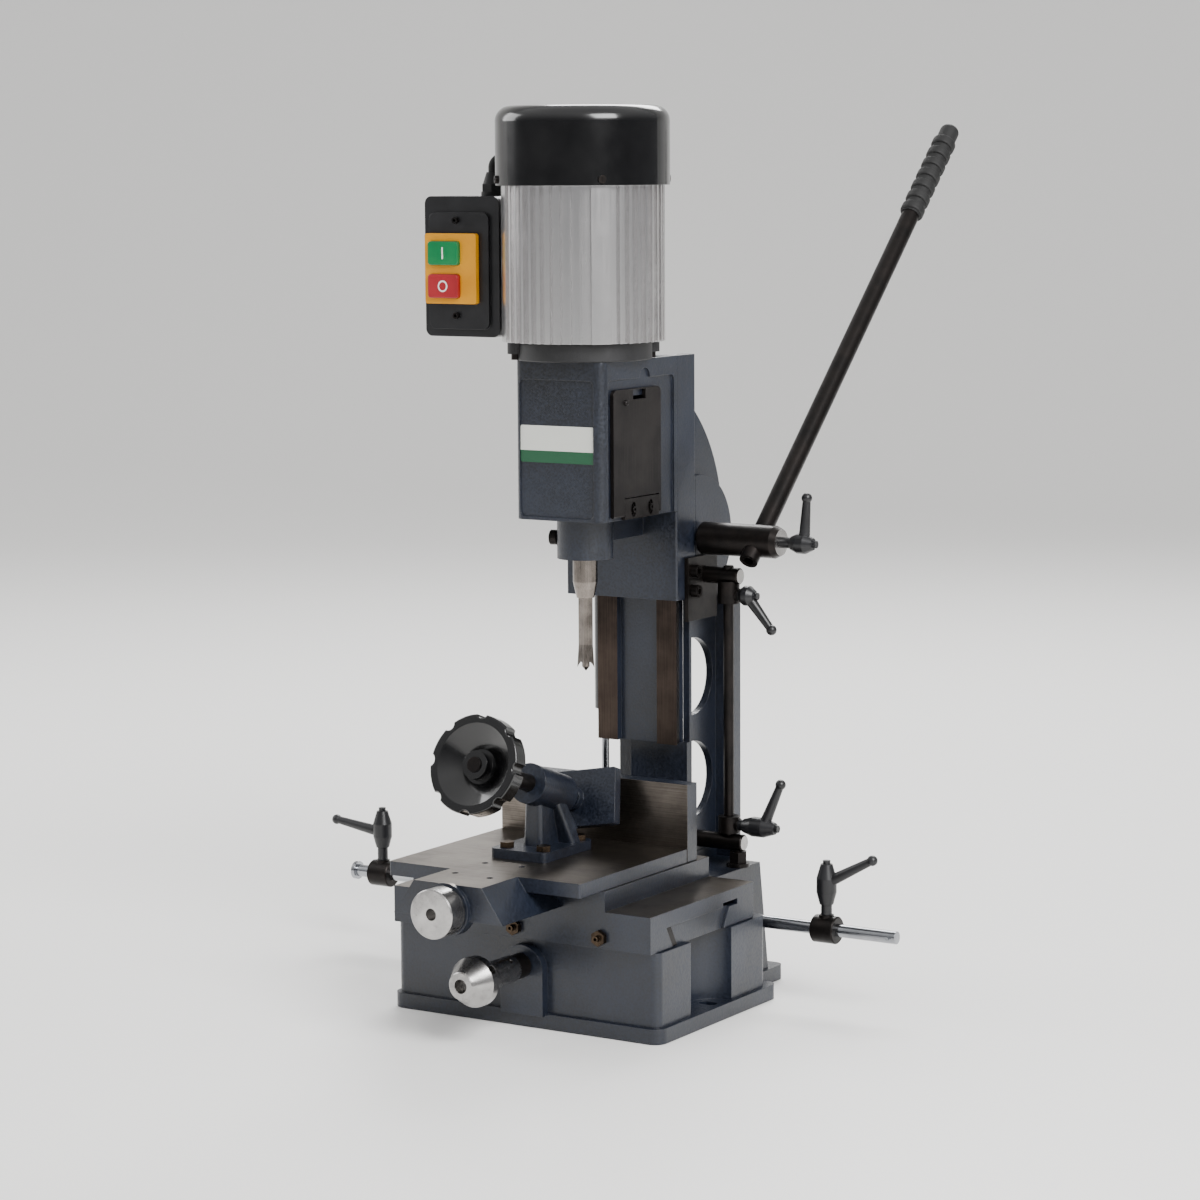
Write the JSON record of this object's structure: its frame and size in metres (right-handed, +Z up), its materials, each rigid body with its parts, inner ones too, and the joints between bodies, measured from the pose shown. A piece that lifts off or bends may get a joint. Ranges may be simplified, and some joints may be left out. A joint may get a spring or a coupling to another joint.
{
  "type": "benchtop mortiser",
  "caption": "Benchtop hollow chisel mortiser: cast base, cross slide table with fence and work clamp, dovetail column, head with motor, side lever and depth stop.",
  "frame": {"origin": "midway between the two bench bolt slots, on the base's underside, where the bench surface is", "axes": "+Z up, +X to the operator's right, +Y away from the operator, towards the column"},
  "size_m": [0.646, 0.7633, 0.837],
  "materials": {
    "casting_paint": "hammertone",
    "black_paint": "textured",
    "ground_steel": "ground",
    "table_iron": "ground",
    "black_oxide": "black oxide",
    "zinc_steel": "zinc plated",
    "chrome_steel": "polished",
    "yellow_zinc": "yellow zinc",
    "motor_aluminium": "extruded",
    "black_plastic": "gloss",
    "yellow_plastic": "satin",
    "green_plastic": "satin",
    "red_plastic": "satin",
    "black_rubber": "matt",
    "stator_steel": "laminated",
    "tool_steel": "ground"
  },
  "bodies": {
    "base": {"base_casting": "casting_paint", "column": "casting_paint", "base_bolts": "black_oxide", "depth_rod": "black_oxide", "rod_foot_bar": "black_oxide", "strut_rod": "chrome_steel"},
    "head": {"head_casting": "casting_paint", "head_gib": "ground_steel", "head_rack": "ground_steel", "motor_flange": "black_paint", "motor_housing": "motor_aluminium", "stator_core": "stator_steel", "fan_cover": "black_plastic", "cover_screws": "zinc_steel", "flange_bolts": "black_oxide", "head_screws": "black_oxide", "switch_box": "black_plastic", "switch_plate": "yellow_plastic", "cable_gland": "black_rubber", "motor_cable": "black_rubber", "hinge_leaves": "ground_steel", "chisel_bush": "tool_steel", "hollow_chisel": "tool_steel", "stop_bracket": "black_oxide", "upper_collar": "black_oxide", "strut_tube": "black_paint"},
    "rotor": {"rotor_shaft": "ground_steel", "cooling_fan": "black_rubber", "drill_chuck": "ground_steel", "auger_bit": "tool_steel"},
    "start_key": {"start_button": "green_plastic"},
    "stop_key": {"stop_button": "red_plastic"},
    "door_right": {"right_door": "ground_steel"},
    "door_left": {"left_door": "ground_steel"},
    "lever": {"pinion_shaft": "black_oxide", "lever_bar": "black_oxide", "lever_grip": "black_rubber"},
    "lever_clamp": {"hub_lever": "black_oxide"},
    "upper_clamp": {"upper_lever": "black_oxide"},
    "depth_stop": {"depth_collar": "black_oxide"},
    "depth_clamp": {"depth_lever": "black_oxide"},
    "saddle": {"saddle_casting": "casting_paint", "saddle_gib": "ground_steel", "gib_screws": "yellow_zinc", "stop_rod": "chrome_steel", "saddle_rack": "ground_steel"},
    "cross_feed": {"x_feed_hub": "zinc_steel", "x_feed_shaft": "black_oxide"},
    "table_slide": {"table": "table_iron", "fence": "ground_steel", "clamp_bracket": "casting_paint", "clamp_bolts": "yellow_zinc"},
    "table_feed": {"y_feed_screw": "zinc_steel"},
    "clamp_face": {"clamp_pad": "casting_paint"},
    "clamp_drive": {"clamp_screw": "tool_steel", "handwheel": "black_plastic"},
    "stop_left": {"left_stop_collar": "black_oxide"},
    "stop_left_clamp": {"left_stop_lever": "black_oxide"},
    "stop_right": {"right_stop_collar": "black_oxide"},
    "stop_right_clamp": {"right_stop_lever": "black_oxide"}
  },
  "joints": [
    {"name": "head_travel", "type": "slide", "parent": "base", "child": "head", "axis": [0, 0, -1], "range_m": [0, 0.0947]},
    {"name": "lever_turn", "type": "hinge", "parent": "base", "child": "lever", "pos_m": [0.057, 0.121, 0.431], "axis": [1, 0, 0], "range_deg": [0, 155.1]},
    {"name": "lever_clamp_turn", "type": "hinge", "parent": "lever", "child": "lever_clamp", "pos_m": [0.141, 0.121, 0.431], "axis": [1, 0, 0], "range_deg": [-60, 60]},
    {"name": "spindle_spin", "type": "hinge", "parent": "head", "child": "rotor", "pos_m": [0.005, -0.008, 0.606], "axis": [0, 0, 1], "continuous": true},
    {"name": "start_press", "type": "slide", "parent": "head", "child": "start_key", "axis": [0, 1, 0], "range_m": [0, 0.003], "stiffness_N_per_m": 500},
    {"name": "stop_press", "type": "slide", "parent": "head", "child": "stop_key", "axis": [0, 1, 0], "range_m": [0, 0.003], "stiffness_N_per_m": 500},
    {"name": "right_door_swing", "type": "hinge", "parent": "head", "child": "door_right", "pos_m": [0.0531, 0.005, 0.465], "axis": [0, 1, 0], "range_deg": [0, 100]},
    {"name": "left_door_swing", "type": "hinge", "parent": "head", "child": "door_left", "pos_m": [-0.0431, 0.005, 0.465], "axis": [0, -1, 0], "range_deg": [0, 100]},
    {"name": "upper_clamp_turn", "type": "hinge", "parent": "head", "child": "upper_clamp", "pos_m": [0.0935, 0.124, 0.378], "axis": [1, 0, 0], "range_deg": [-60, 60]},
    {"name": "depth_stop_slide", "type": "slide", "parent": "base", "child": "depth_stop", "axis": [0, 0, 1], "range_m": [0, 0.04]},
    {"name": "depth_clamp_turn", "type": "hinge", "parent": "depth_stop", "child": "depth_clamp", "pos_m": [0.0935, 0.124, 0.157], "axis": [1, 0, 0], "range_deg": [-60, 20]},
    {"name": "saddle_travel", "type": "slide", "parent": "base", "child": "saddle", "axis": [1, 0, 0], "range_m": [-0.06, 0.06]},
    {"name": "cross_feed_turn", "type": "hinge", "parent": "base", "child": "cross_feed", "pos_m": [0.002, -0.117, 0.058], "axis": [0, 1, 0], "range_deg": [-143.4, 143.4]},
    {"name": "table_travel", "type": "slide", "parent": "saddle", "child": "table_slide", "axis": [0, 1, 0], "range_m": [-0.06, 0.045]},
    {"name": "table_feed_turn", "type": "hinge", "parent": "table_slide", "child": "table_feed", "pos_m": [-0.013, -0.216, 0.126], "axis": [0, 1, 0], "range_deg": [-5401, 4051]},
    {"name": "clamp_travel", "type": "slide", "parent": "table_slide", "child": "clamp_face", "axis": [0, 0.9438, -0.3305], "range_m": [-0.013, 0.011]},
    {"name": "clamp_turn", "type": "hinge", "parent": "clamp_face", "child": "clamp_drive", "pos_m": [-0.017, -0.156, 0.247], "axis": [0, 0.9438, -0.3305], "range_deg": [-1561, 1321]},
    {"name": "left_stop_slide", "type": "slide", "parent": "saddle", "child": "stop_left", "axis": [1, 0, 0], "range_m": [-0.016, 0.14]},
    {"name": "left_stop_turn", "type": "hinge", "parent": "stop_left", "child": "stop_left_clamp", "pos_m": [-0.31, 0.102, 0.086], "axis": [0, 0, 1], "range_deg": [-60, 60]},
    {"name": "right_stop_slide", "type": "slide", "parent": "saddle", "child": "stop_right", "axis": [1, 0, 0], "range_m": [-0.018, 0.05]},
    {"name": "right_stop_turn", "type": "hinge", "parent": "stop_right", "child": "stop_right_clamp", "pos_m": [0.2, 0.102, 0.086], "axis": [0, 0, 1], "range_deg": [-60, 60]}
  ],
  "couplings": [
    {"joint": "lever_turn", "follows": "head_travel", "rad_per_m": 28.571},
    {"joint": "cross_feed_turn", "follows": "saddle_travel", "rad_per_m": 41.667},
    {"joint": "table_feed_turn", "follows": "table_travel", "rad_per_m": 1570.8},
    {"joint": "clamp_turn", "follows": "clamp_travel", "rad_per_m": 2094.4}
  ]
}
